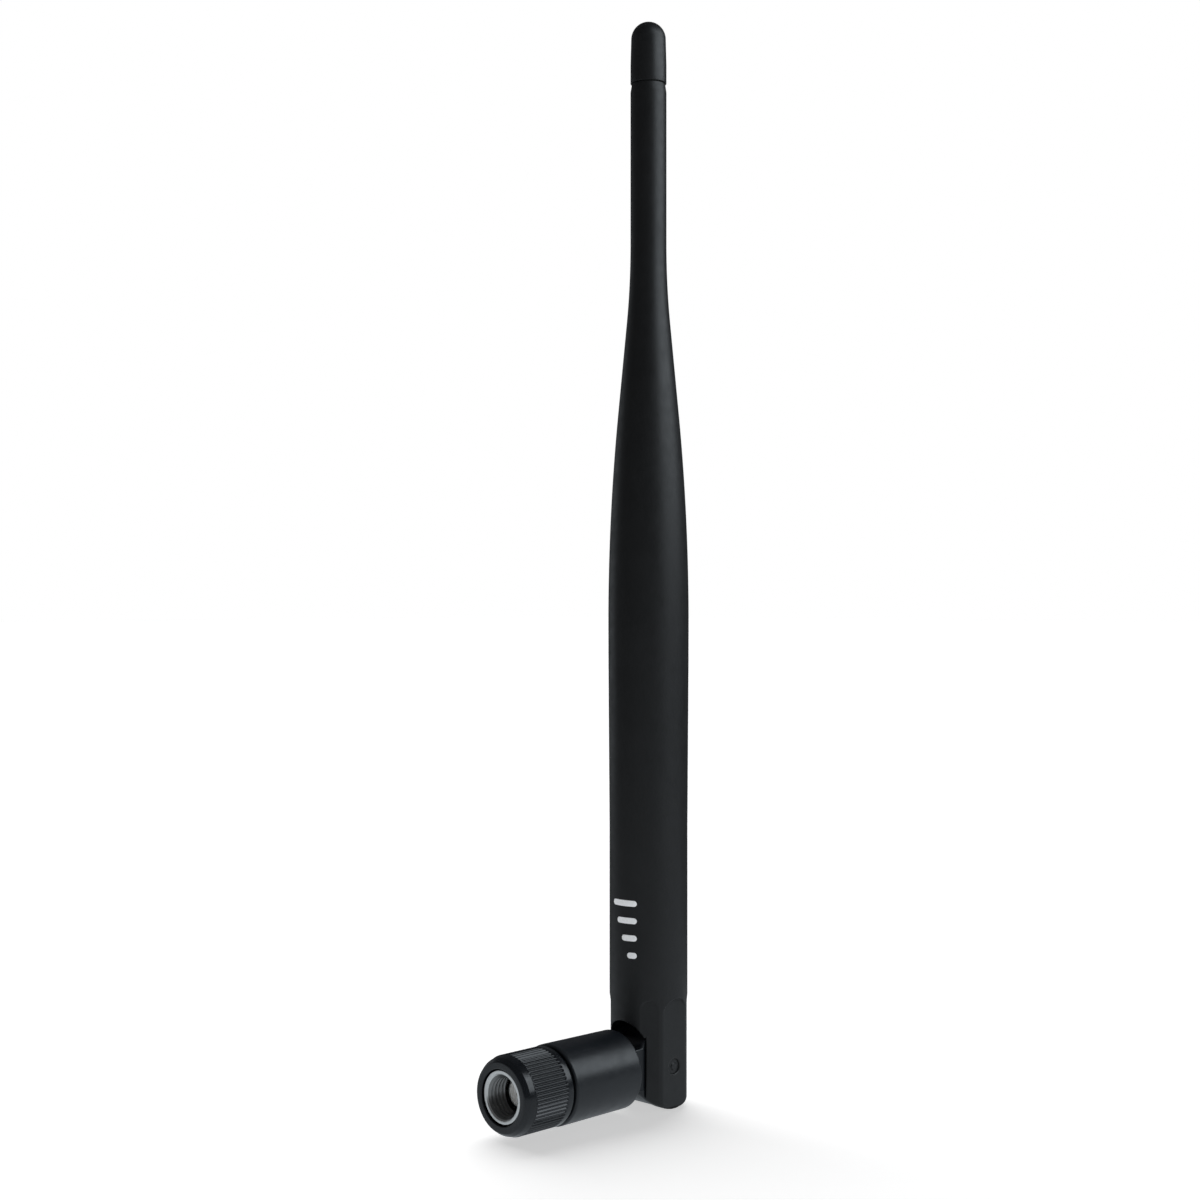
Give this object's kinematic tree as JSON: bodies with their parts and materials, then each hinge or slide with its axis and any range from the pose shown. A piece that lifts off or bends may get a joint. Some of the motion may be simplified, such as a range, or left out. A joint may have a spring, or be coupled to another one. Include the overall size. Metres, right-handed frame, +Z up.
{
  "type": "omnidirectional antenna",
  "caption": "Tilt-and-swivel whip antenna: a flared plastic mast hinged on a short swivel arm with a knurled screw-on coaxial connector.",
  "frame": {"origin": "on the connector axis, at the inner end of the coupling thread, 0.1 mm ahead of the connector's contact face", "axes": "+Z up along the mast, -Y out of the connector's mouth along its axis, X across the hinge"},
  "size_m": [0.013, 0.0387, 0.1747],
  "materials": {
    "radome_plastic": "fine matt moulded texture",
    "cap_plastic": "fine matt moulded texture",
    "arm_plastic": "satin moulded plastic",
    "grip_plastic": "satin moulded plastic",
    "pin_plastic": "satin moulded plastic",
    "bush_rubber": "matt",
    "coax_jacket": "smooth translucent brown jacket",
    "shrink_tube": "matt",
    "sleeve_brass": "drawn tube, bare",
    "white_ptfe": "waxy white",
    "holder_foam": "closed-cell foam",
    "radiator_copper": "bare copper wire",
    "bush_brass": "turned",
    "washer_plastic": "smooth",
    "nickel_plate": "turned and nickel plated",
    "gold_plate": "gold plated",
    "gasket_rubber": "matt",
    "spring_steel": "bright spring steel"
  },
  "bodies": {
    "connector": {"connector_body": "nickel_plate", "insulator": "white_ptfe", "centre_socket": "gold_plate", "gasket": "gasket_rubber", "crimp_sleeve": "nickel_plate", "friction_ring": "gasket_rubber", "retaining_clip": "spring_steel"},
    "nut": {"coupling_nut": "nickel_plate", "nut_grip": "grip_plastic", "nut_snap_ring": "spring_steel"},
    "arm": {"swivel_arm": "arm_plastic", "swivel_bush": "bush_brass", "swivel_washer": "washer_plastic", "coax_arm": "coax_jacket", "coax_bend": "coax_jacket"},
    "mast": {"radome": "radome_plastic", "tip_cap": "cap_plastic", "hinge_pin_left": "pin_plastic", "hinge_pin_right": "pin_plastic", "cable_bush": "bush_rubber", "coax_mast": "coax_jacket", "heat_shrink": "shrink_tube", "choke_sleeve": "sleeve_brass", "sleeve_spacer": "white_ptfe", "sleeve_holder": "holder_foam", "feed_bead": "white_ptfe", "radiator_wire": "radiator_copper", "wire_spacer": "white_ptfe"}
  },
  "joints": [
    {"name": "nut_spin", "type": "hinge", "parent": "connector", "child": "nut", "pos_m": [0, 0, 0], "axis": [0, -1, 0], "continuous": true},
    {"name": "arm_swivel", "type": "hinge", "parent": "connector", "child": "arm", "pos_m": [0, 0.01, 0], "axis": [0, 1, 0], "range_deg": [-165, 165]},
    {"name": "mast_tilt", "type": "hinge", "parent": "arm", "child": "mast", "pos_m": [0, 0.0286, 0], "axis": [-1, 0, 0], "range_deg": [0, 90], "deforming": ["coax_bend"]}
  ]
}
